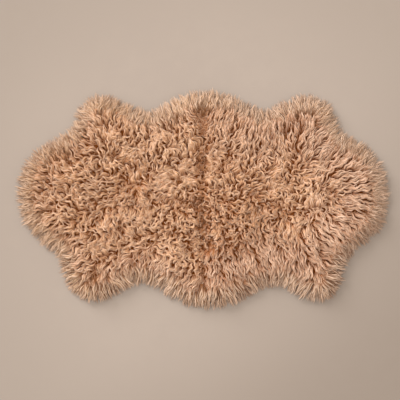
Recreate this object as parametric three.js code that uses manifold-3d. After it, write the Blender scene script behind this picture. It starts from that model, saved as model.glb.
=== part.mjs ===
// A shaggy rug of two fur pelts, sewn edge to edge along one straight middle seam.
// Millimetres, +Z up. The rug lies flat on the floor at Z = 0, with its length along X and the seam along Y.

import * as THREE from 'three';
import { ImprovedNoise } from 'three/addons/math/ImprovedNoise.js';
import { mergeVertices } from 'three/addons/utils/BufferGeometryUtils.js';
import Module from 'manifold-3d';

// Driving dimensions
const PILE_HEIGHT = 38; // top of the pile over the floor, between its lumps and dips
const SEAM_GAP = 0.3; // the two pelts' clearance along the seam
const LOCK_PITCH = 22; // from one rim lock to the next of its tier, along the rim
const LOCK_BEHIND = 3; // how far the tip of a middling lock stays behind the outline
const LOCK_UNEVEN = 5; // how much longer or shorter than that a lock may be
const LOCK_SWAY = 8; // how far a lock's tip leans to either side
const LOCK_LIFT = 5; // how far the tip of a high lock hangs above or below its tier
const FIRST_LOCK = 12; // from the seam to the first rim lock
const NEAR_SEAM = 80; // nearer to the seam than this, the rim's pile turns to run along it
const PELT_MIDDLE = 215; // from the seam to the middle of a pelt
const RIM_POINTS = 72; // points round the rim of a slab
const SEAM_POINTS = 24; // points along its seam, which with the rim's make a number that halves three times
const CROWN_RINGS = 12; // rings of points from the crown's edge to a pelt's middle
const MERGE_WITHIN = 1e-4; // points nearer than this are one
const PILE_COLOUR = 0xc59673;

// The lumps of the pile: how far across they are, how far they stand out, and their slice of the noise.
const LUMPS = [
  { kind: 'lump', size: 58, rise: 13, slice: 0.5 },
  { kind: 'tuft', size: 31, rise: 8, slice: 7.5 },
];

// What is drawn by lot for each rim lock.
const DRAWS = ['length', 'sway', 'lift'];

// From these rings inwards, a ring keeps only some of the crown's points, so that its tufts stay of a size.
const THINNING = [
  { fromRing: 5, every: 2 },
  { fromRing: 9, every: 4 },
  { fromRing: 11, every: 8 },
];

// Where the tips of the pile end, going round each pelt from the top of the seam to its bottom.
// out is the distance from the seam and along the place along it, on the left and the right pelt.
const EDGE = [
  { spot: 'seam top', leftOut: 0, leftAlong: 294, rightOut: 0, rightAlong: 294 },
  { spot: 'top bulge', leftOut: 48, leftAlong: 285, rightOut: 80, rightAlong: 279 },
  { spot: 'top slope', leftOut: 94, leftAlong: 263, rightOut: 124, rightAlong: 256 },
  { spot: 'top waist', leftOut: 151, leftAlong: 237, rightOut: 168, rightAlong: 241 },
  { spot: 'top leg, inner side', leftOut: 203, leftAlong: 257, rightOut: 225, rightAlong: 266 },
  { spot: 'top leg, end', leftOut: 277, leftAlong: 283, rightOut: 277, rightAlong: 281 },
  { spot: 'top leg, corner', leftOut: 326, leftAlong: 260, rightOut: 334, rightAlong: 263 },
  { spot: 'top leg, outer side', leftOut: 347, leftAlong: 225, rightOut: 358, rightAlong: 228 },
  { spot: 'top neck', leftOut: 358, leftAlong: 192, rightOut: 372, rightAlong: 189 },
  { spot: 'top cheek', leftOut: 405, leftAlong: 162, rightOut: 416, rightAlong: 159 },
  { spot: 'end, top corner', leftOut: 465, leftAlong: 121, rightOut: 465, rightAlong: 121 },
  { spot: 'end, upper side', leftOut: 500, leftAlong: 53, rightOut: 495, rightAlong: 67 },
  { spot: 'end, lower side', leftOut: 503, leftAlong: -15, rightOut: 500, rightAlong: -15 },
  { spot: 'end, bottom corner', leftOut: 484, leftAlong: -72, rightOut: 484, rightAlong: -80 },
  { spot: 'bottom cheek', leftOut: 429, leftAlong: -127, rightOut: 435, rightAlong: -127 },
  { spot: 'bottom neck', leftOut: 388, leftAlong: -165, rightOut: 391, rightAlong: -170 },
  { spot: 'bottom leg, outer side', leftOut: 383, leftAlong: -200, rightOut: 375, rightAlong: -222 },
  { spot: 'bottom leg, corner', leftOut: 361, leftAlong: -247, rightOut: 356, rightAlong: -260 },
  { spot: 'bottom leg, end', leftOut: 301, leftAlong: -279, rightOut: 309, rightAlong: -282 },
  { spot: 'bottom leg, inner side', leftOut: 247, leftAlong: -266, rightOut: 244, rightAlong: -252 },
  { spot: 'bottom waist', leftOut: 187, leftAlong: -230, rightOut: 195, rightAlong: -234 },
  { spot: 'bottom slope', leftOut: 143, leftAlong: -234, rightOut: 151, rightAlong: -247 },
  { spot: 'bottom bulge', leftOut: 89, leftAlong: -266, rightOut: 110, rightAlong: -271 },
  { spot: 'bottom end', leftOut: 40, leftAlong: -290, rightOut: 61, rightAlong: -290 },
  { spot: 'seam bottom', leftOut: 0, leftAlong: -296, rightOut: 0, rightAlong: -296 },
];

// The slab's section from the hide's edge on the floor up over the shoulder of the pile.
// rimIn is measured in from the outline of the tips, seamIn from the seam, and up from the floor.
const SECTION = [
  { level: 'hide edge', rimIn: 40, rimUp: 0, seamIn: 0, seamUp: 0 },
  { level: 'low flank', rimIn: 29, rimUp: 9, seamIn: 0, seamUp: 10 },
  { level: 'high flank', rimIn: 28, rimUp: 20, seamIn: 0, seamUp: 22 },
  { level: 'shoulder', rimIn: 36, rimUp: 30, seamIn: 6, seamUp: 28 },
  { level: 'crown edge', rimIn: 50, rimUp: 36, seamIn: 24, seamUp: 35 },
];

// The two tiers of locks round the rim, as three-sided tapered strands with a level underside.
// A low lock lies on the floor from its knee to its tip, and a high one droops over between two low ones.
const TIERS = [
  { name: 'low', shift: 0, tipIn: 0, tipUp: 0, sections: [
    { at: 'root', rimIn: 50, up: 7, halfWidth: 7.5, ridge: 11 },
    { at: 'knee', rimIn: 24, up: 0, halfWidth: 7, ridge: 12 },
    { at: 'bend', rimIn: 10, up: 0, halfWidth: 4.5, ridge: 8 },
  ] },
  { name: 'high', shift: 0.5, tipIn: 3, tipUp: 11, sections: [
    { at: 'root', rimIn: 50, up: 13, halfWidth: 7.5, ridge: 10 },
    { at: 'knee', rimIn: 25, up: 18, halfWidth: 6.5, ridge: 11 },
    { at: 'bend', rimIn: 12, up: 14, halfWidth: 4, ridge: 7 },
  ] },
];

const noise = new ImprovedNoise();
const wasm = await Module();
wasm.setup();

// A number from -1 to 1 that differs from lock to lock and is the same on every run.
function uneven(lock, draw) {
  return 2 * THREE.MathUtils.seededRandom(lock * DRAWS.length + DRAWS.indexOf(draw)) - 1;
}

// How far the pile stands above or below its even height at a place on the rug.
function lumps(x, y) {
  const heights = LUMPS.map((row) => row.rise * noise.noise(x / row.size, y / row.size, row.slice));
  return heights.reduce((sum, height) => sum + height);
}

// The outline of the tips of one pelt, as a smooth curve that runs counter-clockwise from seam to seam.
function tipOutline(side) {
  const sign = side === 'left' ? -1 : 1;
  const points = EDGE.map((row) => {
    const out = row[`${side}Out`] + SEAM_GAP / 2;
    return new THREE.Vector3(sign * out, row[`${side}Along`], 0);
  });
  if (side === 'right') {
    points.reverse();
  }
  return new THREE.CatmullRomCurve3(points, false, 'centripetal');
}

// A spot on the outline, with the direction that the pile takes there: straight out from the rim, or along the seam
// next to it.
function rimSpot(outline, share) {
  const tip = outline.getPointAt(share);
  const run = outline.getTangentAt(share);
  const turn = THREE.MathUtils.smoothstep(Math.abs(tip.x), SEAM_GAP, NEAR_SEAM);
  const out = new THREE.Vector3(run.y * turn, -run.x, 0).normalize();
  return { tip, out };
}

// A closed surface through rings of points, ending in two middle points.
// A ring has as many points as the one before it, or half as many.
function skin(rings, firstMiddle, lastMiddle) {
  const points = [...rings.flat(), firstMiddle, lastMiddle];
  const first = points.length - 2;
  const last = points.length - 1;
  const faces = [];
  let start = 0;
  rings.forEach((ring, level) => {
    const count = ring.length;
    const above = start + count;
    const countAbove = rings[level + 1]?.length ?? 0;
    for (let i = 0; i < count; i += 1) {
      const here = start + i;
      const next = start + ((i + 1) % count);
      if (level === 0) {
        faces.push(first, next, here);
      }
      if (countAbove === 0) {
        faces.push(here, next, last);
      } else if (countAbove === count) {
        const nextAbove = above + ((i + 1) % count);
        faces.push(here, next, nextAbove, here, nextAbove, above + i);
      } else if (i % 2 === 0) {
        faces.push(here, next, above + i / 2);
      } else {
        const nextAbove = above + (((i + 1) / 2) % countAbove);
        faces.push(here, next, nextAbove, here, nextAbove, above + (i - 1) / 2);
      }
    }
    start = above;
  });
  const geometry = new THREE.BufferGeometry().setFromPoints(points);
  geometry.setIndex(faces);
  return geometry;
}

// One pelt's pile as a lumpy slab: flat underneath, with a rounded flank, and lower along the seam.
function peltSlab(side, outline) {
  const sign = side === 'left' ? -1 : 1;
  const spots = Array.from({ length: RIM_POINTS }, (_, i) => rimSpot(outline, i / (RIM_POINTS - 1)));
  const rings = SECTION.map((row) => {
    const ring = spots.map(({ tip, out }) => {
      const point = tip.clone().addScaledVector(out, -row.rimIn).setZ(row.rimUp);
      point.x += sign * row.seamIn * Math.max(0, 1 - Math.abs(point.x) / NEAR_SEAM);
      return point;
    });
    const from = ring.at(-1).y;
    const to = ring[0].y;
    const x = sign * (SEAM_GAP / 2 + row.seamIn);
    for (let i = 1; i <= SEAM_POINTS; i += 1) {
      const y = THREE.MathUtils.lerp(from, to, i / (SEAM_POINTS + 1));
      ring.push(new THREE.Vector3(x, y, row.seamUp));
    }
    return ring;
  });
  const crown = rings.at(-1);
  const middle = new THREE.Vector3(sign * PELT_MIDDLE, 0, PILE_HEIGHT);
  for (let i = 1; i < CROWN_RINGS; i += 1) {
    const every = THINNING.findLast((row) => i >= row.fromRing)?.every ?? 1;
    const kept = crown.filter((_, index) => index % every === 0);
    rings.push(kept.map((point) => {
      const moved = point.clone().lerp(middle, i / CROWN_RINGS);
      return moved.setZ(THREE.MathUtils.lerp(point.z, PILE_HEIGHT, Math.min(1, i / 2)));
    }));
  }
  for (const point of [...rings.flat(), middle]) {
    point.z += lumps(point.x, point.y) * (point.z / PILE_HEIGHT) ** 2;
  }
  const underMiddle = new THREE.Vector3(middle.x, middle.y, 0);
  return skin(rings, underMiddle, middle);
}

// One rim lock: rings of three corners from its root in the slab to its bend, then the point of its tip.
function rimLock(outline, share, tier, lock) {
  const { tip, out } = rimSpot(outline, share);
  const across = new THREE.Vector3(-out.y, out.x, 0);
  const short = LOCK_BEHIND + LOCK_UNEVEN * uneven(lock, 'length');
  const sway = LOCK_SWAY * uneven(lock, 'sway');
  const lift = tier.tipUp > 0 ? LOCK_LIFT * uneven(lock, 'lift') : 0;
  const length = tier.sections[0].rimIn;
  const place = (rimIn, up, aside) => {
    const far = 1 - rimIn / length;
    const point = tip.clone().addScaledVector(out, -rimIn - short * far);
    return point.addScaledVector(across, aside + sway * far * far).setZ(up);
  };
  const rings = tier.sections.map((row) => [
    place(row.rimIn, row.up, row.halfWidth),
    place(row.rimIn, row.up + row.ridge, 0),
    place(row.rimIn, row.up, -row.halfWidth),
  ]);
  const root = tier.sections[0];
  return skin(rings, place(root.rimIn, root.up + root.ridge / 3, 0), place(tier.tipIn, tier.tipUp + lift, 0));
}

// A closed surface as a solid that can be joined to others.
function asSolid(geometry) {
  const merged = mergeVertices(geometry, MERGE_WITHIN);
  return new wasm.Manifold(new wasm.Mesh({
    numProp: 3,
    vertProperties: merged.attributes.position.array,
    triVerts: Uint32Array.from(merged.index.array),
  }));
}

let lockCount = 0;

// One whole pelt: its slab with the locks of both tiers grown out of its flank.
function pelt(side) {
  const outline = tipOutline(side);
  const reach = outline.getLength();
  const count = Math.floor((reach - 2 * FIRST_LOCK) / LOCK_PITCH);
  let solid = asSolid(peltSlab(side, outline));
  TIERS.forEach((tier, level) => {
    const locks = level === 0 ? count + 1 : count;
    for (let i = 0; i < locks; i += 1) {
      const share = (FIRST_LOCK + ((i + tier.shift) / count) * (reach - 2 * FIRST_LOCK)) / reach;
      solid = solid.add(asSolid(rimLock(outline, share, tier, lockCount)));
      lockCount += 1;
    }
  });
  const mesh = solid.getMesh();
  const geometry = new THREE.BufferGeometry();
  geometry.setAttribute('position', new THREE.BufferAttribute(mesh.vertProperties, 3));
  geometry.setIndex(new THREE.BufferAttribute(mesh.triVerts, 1));
  geometry.computeVertexNormals();
  const material = new THREE.MeshStandardMaterial({ color: PILE_COLOUR, roughness: 0.95, metalness: 0 });
  const object = new THREE.Mesh(geometry, material);
  object.name = `pelt_${side}`;
  return object;
}

// The origin is on the floor, under the middle of the whole rug.
const rug = new THREE.Group();
rug.add(pelt('left'), pelt('right'));
const box = new THREE.Box3().setFromObject(rug);
const centre = box.getCenter(new THREE.Vector3());
rug.position.set(-centre.x, -centre.y, -box.min.z);

export default rug;
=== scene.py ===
# %% [markdown]
# # A shaggy rug of two fur pelts
# Two curly pelts, close to mirror images of each other, are sewn edge to edge along one straight seam. The
# rug lies flat on a pale floor and is seen from straight above. The plain solids give its sizes. Everything
# that shows is built over them: the thin hides, the felted wool next to the skin, thousands of curled
# strands on top, and the straighter locks that hang over the rim.

# %% Load the solids
import math

import bpy
import numpy as np
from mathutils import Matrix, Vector, noise
from mathutils.bvhtree import BVHTree
from mathutils.geometry import delaunay_2d_cdt


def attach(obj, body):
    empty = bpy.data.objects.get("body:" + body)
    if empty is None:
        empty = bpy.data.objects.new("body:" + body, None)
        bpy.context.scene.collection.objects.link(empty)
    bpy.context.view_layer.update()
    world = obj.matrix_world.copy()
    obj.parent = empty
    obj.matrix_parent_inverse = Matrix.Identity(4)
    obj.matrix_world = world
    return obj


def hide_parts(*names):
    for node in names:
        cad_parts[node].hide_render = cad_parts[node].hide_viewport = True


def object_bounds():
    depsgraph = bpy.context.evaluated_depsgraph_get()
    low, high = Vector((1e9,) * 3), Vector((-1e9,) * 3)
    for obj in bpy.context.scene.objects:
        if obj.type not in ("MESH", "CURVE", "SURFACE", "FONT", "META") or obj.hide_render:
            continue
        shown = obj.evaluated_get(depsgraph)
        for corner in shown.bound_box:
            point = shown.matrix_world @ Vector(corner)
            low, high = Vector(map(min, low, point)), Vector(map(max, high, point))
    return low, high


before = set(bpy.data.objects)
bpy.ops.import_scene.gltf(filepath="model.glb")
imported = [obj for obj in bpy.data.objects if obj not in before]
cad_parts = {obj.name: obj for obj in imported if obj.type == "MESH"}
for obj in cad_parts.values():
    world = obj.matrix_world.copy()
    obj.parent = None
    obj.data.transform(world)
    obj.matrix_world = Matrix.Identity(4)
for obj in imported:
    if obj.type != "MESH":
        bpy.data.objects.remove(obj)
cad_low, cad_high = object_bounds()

SIDES = ("left", "right")


def box_size(low, high):
    """The three sides of a box, to the millimetre."""
    return [round(float(end - start), 3) for start, end in zip(low, high)]


print("The rug's box, in metres:", box_size(cad_low, cad_high))

# %% [markdown]
# ## Camera
# The photograph looks straight down with hardly any perspective, so the camera hangs high over the rug
# behind a long lens. An orthographic camera would come close, but a lens keeps the slight parallax between
# the tips and the roots. Its focal length follows from the width of floor that the picture takes in.

# %% Hang the camera over the rug
CAMERA_HEIGHT = 3.0
PICTURE_WIDTH = 1.09  # metres of floor from the left to the right of the picture
SENSOR_WIDTH = 36.0  # millimetres
RUG_OFF_MIDDLE = (0.0068, 0.0014)  # how far the rug lies to the right of the picture's middle, and above it

lens = bpy.data.cameras.new("camera")
lens.sensor_width = SENSOR_WIDTH
lens.lens = SENSOR_WIDTH * CAMERA_HEIGHT / PICTURE_WIDTH
camera = bpy.data.objects.new("camera", lens)
camera.location = (-RUG_OFF_MIDDLE[0], -RUG_OFF_MIDDLE[1], CAMERA_HEIGHT)
bpy.context.scene.collection.objects.link(camera)
bpy.context.scene.camera = camera
print("Focal length, in millimetres:", round(lens.lens, 1))

# %% [markdown]
# ## Light
# Soft light comes from the upper left, as through a wide window. A low sun behind a broad haze lights the
# rug evenly, picks out the locks, and leaves a soft shadow below and to the right. A lamp overhead and a
# warm, even surrounding fill the shadows, as the ceiling and walls of a pale room do. The plain view
# transform keeps the colours as they are mixed.

# %% Set up the sun, the lamp and the room's own light
LIGHT_FROM = Vector((-0.59, 0.59, 0.40))
SUN_STRENGTH = 3.25
SUN_HAZE = 0.6  # how wide the sun looks, in radians
LAMP_PLACE = Vector((-0.05, 0.05, 2.40))
LAMP_SIZE = 1.0
LAMP_POWER = 31.0
LIGHT_COLOUR = (1.0, 0.955, 0.90)
ROOM_COLOUR = (0.725, 0.61, 0.50)
ROOM_STRENGTH = 1.0


def add_light(name, kind, place, strength):
    """A light that shines from a place towards the middle of the rug."""
    light = bpy.data.objects.new(name, bpy.data.lights.new(name, kind))
    light.data.energy = strength
    light.data.color = LIGHT_COLOUR
    light.location = place
    light.rotation_euler = (-place).to_track_quat("-Z", "Y").to_euler()
    light.visible_camera = False
    bpy.context.scene.collection.objects.link(light)
    return light


sun = add_light("sun", "SUN", LIGHT_FROM, SUN_STRENGTH)
sun.data.angle = SUN_HAZE
lamp = add_light("lamp", "AREA", LAMP_PLACE, LAMP_POWER)
lamp.data.shape = "DISK"
lamp.data.size = LAMP_SIZE

room = bpy.data.worlds.new("room")
room.use_nodes = True
room.node_tree.nodes["Background"].inputs["Color"].default_value = (*ROOM_COLOUR, 1)
room.node_tree.nodes["Background"].inputs["Strength"].default_value = ROOM_STRENGTH
bpy.context.scene.world = room
bpy.context.scene.view_settings.view_transform = "Standard"
print("Lamp at", tuple(LAMP_PLACE), "with", LAMP_POWER, "W")

# %% [markdown]
# ## Reading the pelts from the solids
# A pelt's hide ends where the flat underside of its solid ends, so that edge is followed round, from point
# to point. Tracing it by eye would be quicker, but then the pile wouldn't follow the solid when its size
# changes.

# %% Follow the edge of each hide
FLOOR_LEVEL = 1e-5  # points lower than this lie on the floor
SPOT_DIGITS = 5  # points that agree to this many digits are one
EDGE_STEP = 0.004
EDGE_SOFTENING = 3  # each point of the rim is averaged with this many neighbours on either side
ON_SEAM = 0.002  # points this close to the innermost one lie on the seam


def loops_of(links):
    """Joins point-to-point links into closed loops, and leaves out chains that don't close."""
    loops = []
    while links:
        start, here = links.popitem()
        loop = [start]
        while here in links:
            loop.append(here)
            here = links.pop(here)
        if here == start:
            loops.append(np.array(loop))
    return loops


def area_of(loop):
    """The area inside a loop, which is negative where the loop runs clockwise."""
    after = np.roll(loop, -1, axis=0)
    return 0.5 * np.sum(loop[:, 0] * after[:, 1] - after[:, 0] * loop[:, 1])


def evenly(loop, step):
    """A closed loop as evenly spaced points."""
    closed = np.vstack([loop, loop[:1]])
    reach = np.concatenate([[0], np.cumsum(np.linalg.norm(np.diff(closed, axis=0), axis=1))])
    places = np.linspace(0, reach[-1], round(reach[-1] / step), endpoint=False)
    return np.column_stack([np.interp(places, reach, closed[:, axis]) for axis in (0, 1)])


def hide_edge(node):
    """The edge of a solid's flat underside, counter-clockwise."""
    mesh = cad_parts[node].data
    spots = [(round(vertex.co.x, SPOT_DIGITS), round(vertex.co.y, SPOT_DIGITS)) for vertex in mesh.vertices]
    sides = set()
    for face in mesh.polygons:
        if all(mesh.vertices[index].co.z < FLOOR_LEVEL for index in face.vertices):
            corners = [spots[index] for index in face.vertices]
            sides.update(zip(corners, corners[1:] + corners[:1]))
    links = {start: end for start, end in sides if (end, start) not in sides}
    edge = max(loops_of(links), key=lambda loop: abs(area_of(loop)))
    edge = evenly(edge if area_of(edge) > 0 else edge[::-1], EDGE_STEP)
    shifts = range(-EDGE_SOFTENING, EDGE_SOFTENING + 1)
    softened = np.mean([np.roll(edge, shift, axis=0) for shift in shifts], axis=0)
    from_middle = np.abs(edge[:, :1])
    return np.where(from_middle < from_middle.min() + ON_SEAM, edge, softened)


edges = {side: hide_edge(f"pelt_{side}") for side in SIDES}
seam_x = (edges["left"][:, 0].max() + edges["right"][:, 0].min()) / 2
for side, edge in edges.items():
    print(f"The {side} hide's edge has {len(edge)} points round {area_of(edge):.3f} square metres")

# %% [markdown]
# The height of the pile comes from the solids' tops. A grid of rays dropped from above measures it once.
# Softening the grid a little lets the strands roll over the lumps instead of following each facet.

# %% Measure the height of the pile
GRID_STEP = 0.004
GRID_MARGIN = 0.03
GRID_SOFTENING = 2
LEAST_COVER = 0.1  # keeps heights past the rim from growing without end
LAST_SQUARE = 1.001  # keeps places inside the last square of the grid


def neighbours_mean(grid):
    """Each cell's mean with the eight cells round it."""
    padded = np.pad(grid, 1, mode="edge")
    rows, columns = grid.shape
    return np.mean([padded[i:i + rows, j:j + columns] for i in range(3) for j in range(3)], axis=0)


def measured_tops():
    """Heights of the solids on a grid, spread a little past the rim."""
    trees = []
    for side in SIDES:
        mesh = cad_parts[f"pelt_{side}"].data
        spots = [vertex.co for vertex in mesh.vertices]
        trees.append(BVHTree.FromPolygons(spots, [tuple(face.vertices) for face in mesh.polygons]))
    above = float(cad_high[2]) + GRID_MARGIN
    heights = np.zeros((len(grid_x), len(grid_y)))
    for i, x in enumerate(grid_x):
        for j, y in enumerate(grid_y):
            hits = [tree.ray_cast((x, y, above), (0, 0, -1))[0] for tree in trees]
            heights[i, j] = max((hit.z for hit in hits if hit), default=0)
    covered = (heights > 0).astype(float)
    for _ in range(GRID_SOFTENING):
        heights = neighbours_mean(heights)
        covered = neighbours_mean(covered)
    return heights / np.maximum(covered, LEAST_COVER)


grid_x, grid_y = (
    np.arange(float(cad_low[axis]) - GRID_MARGIN, float(cad_high[axis]) + GRID_MARGIN, GRID_STEP)
    for axis in (0, 1))
tops = measured_tops()


def pile_top(places):
    """The pile's height at places on the rug, read between the points of the grid."""
    i = np.clip((places[..., 0] - grid_x[0]) / GRID_STEP, 0, len(grid_x) - LAST_SQUARE)
    j = np.clip((places[..., 1] - grid_y[0]) / GRID_STEP, 0, len(grid_y) - LAST_SQUARE)
    low_i, low_j = i.astype(int), j.astype(int)
    di, dj = i - low_i, j - low_j
    near = tops[low_i, low_j] * (1 - dj) + tops[low_i, low_j + 1] * dj
    far = tops[low_i + 1, low_j] * (1 - dj) + tops[low_i + 1, low_j + 1] * dj
    return near * (1 - di) + far * di


print("Highest pile, in millimetres:", round(1000 * tops.max(), 1))

# %% [markdown]
# ## How the fur is combed
# Near the rim the fur lies straight outwards. Along the seam it leans away to both sides and leaves a
# parting, which opens into thin spots here and there. The middle of a pelt is a tangle, where the direction
# wanders. A few simple rules, added as arrows, give that. Painting the direction by hand would take longer
# and couldn't be read back.

# %% Find the outward directions along the rim
SEAM_TURN = 0.08  # nearer to the seam than this, the rim's fur turns to run along it
EDGE_SPAN = 2  # the edge's direction is read between points this many places before and after


def smooth_step(low, high, value):
    """0 up to low and 1 from high on, with a soft change between them."""
    share = np.clip((value - low) / (high - low), 0, 1)
    return share * share * (3 - 2 * share)


def rim_of(side):
    """A hide's edge from one end of the seam round to the other, and the outward direction at each point."""
    edge = edges[side]
    along = np.roll(edge, -EDGE_SPAN, axis=0) - np.roll(edge, EDGE_SPAN, axis=0)
    from_seam = np.abs(edge[:, 0] - seam_x)
    outward = np.column_stack([along[:, 1] * smooth_step(0, SEAM_TURN, from_seam), -along[:, 0]])
    outward /= np.maximum(np.linalg.norm(outward, axis=1, keepdims=True), 1e-9)
    off_seam = from_seam > ON_SEAM
    before_first = int(np.argmax(off_seam & ~np.roll(off_seam, 1))) - 1
    order = np.roll(np.arange(len(edge)), -before_first)[:off_seam.sum() + 2]
    return edge[order], outward[order]


rims = {side: rim_of(side) for side in SIDES}
for side in SIDES:
    print(f"The {side} rim is {len(rims[side][0]) * EDGE_STEP:.2f} m long")

# %% Find the parting and the direction of the fur anywhere on a pelt
PARTING_PULL = 1.2
PARTING_HALF, PARTING_BARE = 0.014, 0.22  # half the parting's width all along the seam, and how bare it is
THIN_SPOTS = (  # where it opens: right of the seam, up, half width, half length, and how bare it is
    (0.002, 0.205, 0.018, 0.050, 0.40),
    (0.000, 0.108, 0.015, 0.030, 0.66),
    (-0.013, -0.007, 0.027, 0.027, 1.0),
    (0.001, -0.068, 0.020, 0.014, 0.95),
    (0.012, -0.117, 0.021, 0.024, 0.80),
)
COMBED_FROM = {"left": 0.018, "right": 0.035}  # within this distance of the rim the fur is combed straight
TANGLED_FROM = {"left": 0.080, "right": 0.165}  # and this far in it is a tangle
NEAREST_REACH, NEAREST_POWER = 0.010, 3  # how much more the nearest points of the rim count than the others
WANDER_SIZE = 0.075  # in the tangle the direction wanders, and changes over this distance
WANDER = 1.5  # how strong that is beside the pull of the rim
WANDER_LAYERS = (9.5, 10.5)  # a layer of noise for each axis, apart from those of other uses


def drift(places, size, noise_layer):
    """Smooth noise from about -1 to 1 that changes over a given size, in metres."""
    return np.array([noise.noise((x / size, y / size, noise_layer)) for x, y in places])


def parting(places):
    """How much places belong to the parting along the seam, from 0 to 1."""
    right, up = places[:, 0] - seam_x, places[:, 1]
    line = PARTING_BARE * np.exp(-(right / PARTING_HALF) ** 2)
    spots = [bare * np.exp(-((right - x) / width) ** 2 - ((up - y) / length) ** 2)
             for x, y, width, length, bare in THIN_SPOTS]
    return np.maximum(line, np.max(spots, axis=0))


def combing(side, places):
    """For places on a pelt: where the fur leans to, how far the rim is, and how combed the fur is."""
    rim, outward = rims[side]
    apart = np.linalg.norm(places[:, None, :] - rim[None, :, :], axis=2)
    weight = 1 / (apart + NEAREST_REACH) ** NEAREST_POWER
    lean = (weight[:, :, None] * outward[None, :, :]).sum(axis=1) / weight.sum(axis=1)[:, None]
    rim_away = apart.min(axis=1)
    combed = 1 - smooth_step(COMBED_FROM[side], TANGLED_FROM[side], rim_away)
    wandering = np.column_stack([drift(places, WANDER_SIZE, noise_layer) for noise_layer in WANDER_LAYERS])
    lean += WANDER * (1 - combed)[:, None] * wandering
    lean[:, 0] += PARTING_PULL * np.sign(places[:, 0] - seam_x) * parting(places)
    return np.arctan2(lean[:, 1], lean[:, 0]), rim_away, combed


print("Thin spots in the parting:", len(THIN_SPOTS))

# %% [markdown]
# ## Wool and felt as node groups
# Each strand is coloured along its length: dark and reddish at the root, as painted shade deep in the pile,
# tan in the middle, pale and a little pink at the tip. Its ridge is painted lighter and less red, as a
# highlight, and its flanks darker and redder, as shade. All strands share a set of narrow strips, side by
# side on the UV
# map: across a strip goes across the strand, and up the strip goes from root to tip. A strand takes its tone
# by the strip that it is laid on. Colouring by place in space would work in a render, but thousands of
# strands would each need their own patch of the map.

# %% Helpers for building node trees
TONES = 16
VARIANTS = 4
STRIPS = TONES * VARIANTS


def new_group(name, inputs, outputs):
    """An empty node group with named sockets, and its input and output nodes."""
    group = bpy.data.node_groups.new(name, "ShaderNodeTree")
    for in_out, sockets in (("INPUT", inputs), ("OUTPUT", outputs)):
        for socket, kind in sockets:
            group.interface.new_socket(socket, in_out=in_out, socket_type=f"NodeSocket{kind}")
    return group, group.nodes.new("NodeGroupInput"), group.nodes.new("NodeGroupOutput")


def fill(tree, socket, value):
    """Links another node's output to a socket, or sets a plain value on it."""
    if isinstance(value, bpy.types.NodeSocket):
        tree.links.new(value, socket)
    elif hasattr(socket.default_value, "__len__") and len(value) < len(socket.default_value):
        socket.default_value = (*value, 1)
    else:
        socket.default_value = value


def calculate(tree, operation, *values):
    """A Math node's result."""
    node = tree.nodes.new("ShaderNodeMath")
    node.operation = operation
    for socket, value in zip(node.inputs, values):
        fill(tree, socket, value)
    return node.outputs[0]


def ranged(tree, value, low, high, to_low, to_high, soft=True):
    """A value carried from one range to another."""
    node = tree.nodes.new("ShaderNodeMapRange")
    node.interpolation_type = "SMOOTHSTEP" if soft else "LINEAR"
    for socket, number in zip(node.inputs, (value, low, high, to_low, to_high)):
        fill(tree, socket, number)
    return node.outputs[0]


def mixed(tree, share, first, second):
    """A mix of two colours."""
    node = tree.nodes.new("ShaderNodeMix")
    node.data_type = "RGBA"
    fill(tree, node.inputs["Factor"], share)
    fill(tree, node.inputs[6], first)
    fill(tree, node.inputs[7], second)
    return node.outputs[2]


def cloudy(tree, place, scale, detail):
    """A Noise Texture's value."""
    node = tree.nodes.new("ShaderNodeTexNoise")
    fill(tree, node.inputs["Vector"], place)
    fill(tree, node.inputs["Scale"], scale)
    fill(tree, node.inputs["Detail"], detail)
    return node.outputs[0]


print("Tone strips on the wool's map:", STRIPS)

# %% Build the wool fibre group
STREAKS_ROUND = 5.0  # streaks of single hairs across a strand
STREAK_RUN = 2.2  # how often a streak changes along it
STREAK_APART = 3.7  # moves the streaks on from strip to strip
STREAK_DETAIL = 2.0
CLOUD_RANGE = (0.3, 0.7)  # most of a noise lies in here
STREAK_LIGHT = (0.86, 1.12)
STREAK_ROUGHNESS = (0.86, 0.66)
FLANK = (0.08, 0.42)  # the ridge ends and the flank begins, as shares of a strand's width off its middle
RIDGE_TO_FLANK_PAINTED_LIGHT = (1.15, 0.69)  # painted highlight on a strand's ridge and painted shade on its flanks
RIDGE_TO_FLANK_RED = (0.84, 1.80)  # and the painted shade on the flanks is redder, the painted highlight on the ridge less red
WARMTH_HUE = (0.498, 0.503)  # from the pinkest variant to the warmest
WARMTH_RED = (0.87, 1.09)
ROOT_FADES = (0.08, 0.62)  # the painted shade at the root fades out over these shares of a strand's length
TIP_STARTS, TIP_SHARE = (0.62, 1.0), 0.6


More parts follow.
